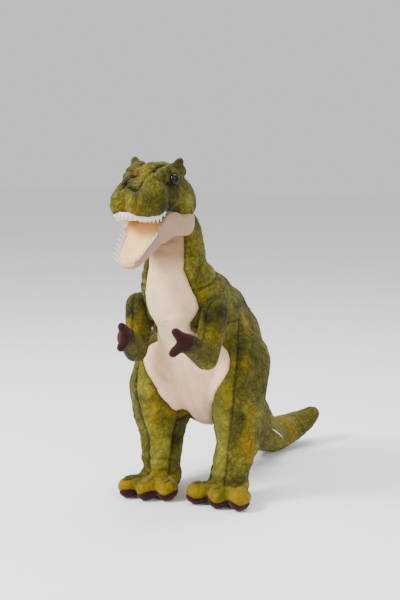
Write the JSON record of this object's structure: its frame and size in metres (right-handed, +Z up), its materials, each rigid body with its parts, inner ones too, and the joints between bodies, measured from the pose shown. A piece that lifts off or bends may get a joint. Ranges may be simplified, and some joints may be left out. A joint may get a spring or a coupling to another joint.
{
  "type": "stuffed dinosaur",
  "caption": "Standing plush theropod dinosaur with open toothed mouth, small arms, beige belly and a curved tail that rests on the ground.",
  "frame": {"origin": "middle of the bounding box at the ground", "axes": "+Z up; the toy faces -Y and its tail points to +Y; its own left is +X"},
  "size_m": [0.1994, 0.4942, 0.4686],
  "materials": {
    "green_plush": "printed short-pile plush, embossed scale pattern",
    "leg_front_plush": "lighter printed short-pile plush",
    "toe_plush": "printed short-pile plush, mustard toes",
    "beige_plush": "smooth short-pile velour",
    "jaw_plush": "smooth short-pile velour, pinkish",
    "maroon_plush": "short-pile plush",
    "mouth_plush": "airbrushed peach velour",
    "felt": "stiff white felt",
    "label_tape": "woven satin tape",
    "stuffing": "polyester fibre fill",
    "pellet_cloth": "cotton bag of plastic pellets",
    "eye_plastic": "polished",
    "washer_plastic": "moulded"
  },
  "bodies": {
    "torso": {"belly_panel_left": "beige_plush", "belly_panel_right": "beige_plush", "body_side_left": "green_plush", "body_side_right": "green_plush", "leg_front_left": "leg_front_plush", "leg_front_right": "leg_front_plush", "leg_inner_left": "green_plush", "leg_inner_right": "green_plush", "foot_top_left": "toe_plush", "foot_top_right": "toe_plush", "sole_left": "maroon_plush", "sole_right": "maroon_plush", "leg_stuffing_left": "stuffing", "leg_stuffing_right": "stuffing", "pellet_bag_left": "pellet_cloth", "pellet_bag_right": "pellet_cloth", "torso_stuffing": "stuffing"},
    "neck": {"neck_side_left": "green_plush", "neck_side_right": "green_plush", "neck_front": "beige_plush", "neck_stuffing": "stuffing"},
    "head": {"head_side_left": "green_plush", "head_side_right": "green_plush", "muzzle_left": "green_plush", "muzzle_right": "green_plush", "cheek_left": "jaw_plush", "cheek_right": "jaw_plush", "brow_horn_left": "green_plush", "brow_horn_right": "green_plush", "eye_left": "eye_plastic", "eye_right": "eye_plastic", "eye_washer_left": "washer_plastic", "eye_washer_right": "washer_plastic", "crown_strip": "green_plush", "palate": "mouth_plush", "upper_teeth": "felt", "head_stuffing": "stuffing"},
    "jaw": {"jaw_outer": "jaw_plush", "jaw_lining": "mouth_plush", "jaw_stuffing": "stuffing", "lower_teeth": "felt"},
    "tail": {"tail_panel_left": "green_plush", "tail_panel_right": "green_plush", "tail_stuffing": "stuffing", "care_label": "label_tape"},
    "arm_left": {"arm_outer_left": "green_plush", "arm_inner_left": "green_plush", "arm_stuffing_left": "stuffing", "hand_left": "maroon_plush"},
    "arm_right": {"arm_outer_right": "green_plush", "arm_inner_right": "green_plush", "arm_stuffing_right": "stuffing", "hand_right": "maroon_plush"}
  },
  "joints": [
    {"name": "neck_turn", "type": "hinge", "parent": "torso", "child": "neck", "pos_m": [0, -0.13479, 0.31], "axis": [0, -0.3419, 0.9397], "range_deg": [-20, 20], "stiffness_Nm_per_rad": 1.2},
    {"name": "head_nod", "type": "hinge", "parent": "neck", "child": "head", "pos_m": [0, -0.13879, 0.35], "axis": [0.9903, -0.1392, 0], "range_deg": [-10, 10], "stiffness_Nm_per_rad": 1.8},
    {"name": "jaw_swing", "type": "hinge", "parent": "head", "child": "jaw", "pos_m": [-0.00696, -0.1903, 0.386], "axis": [0.9903, -0.1392, 0], "range_deg": [-24, 4], "stiffness_Nm_per_rad": 0.5},
    {"name": "tail_wag", "type": "hinge", "parent": "torso", "child": "tail", "pos_m": [0, 0.09021, 0.092], "axis": [0, 0, 1], "range_deg": [-16, 16], "stiffness_Nm_per_rad": 1.2},
    {"name": "arm_swing_left", "type": "hinge", "parent": "torso", "child": "arm_left", "pos_m": [0.053, -0.14279, 0.27], "axis": [-1, 0, 0], "range_deg": [-8, 40], "stiffness_Nm_per_rad": 0.4},
    {"name": "arm_swing_right", "type": "hinge", "parent": "torso", "child": "arm_right", "pos_m": [-0.053, -0.14279, 0.27], "axis": [-1, 0, 0], "range_deg": [-8, 40], "stiffness_Nm_per_rad": 0.4}
  ]
}
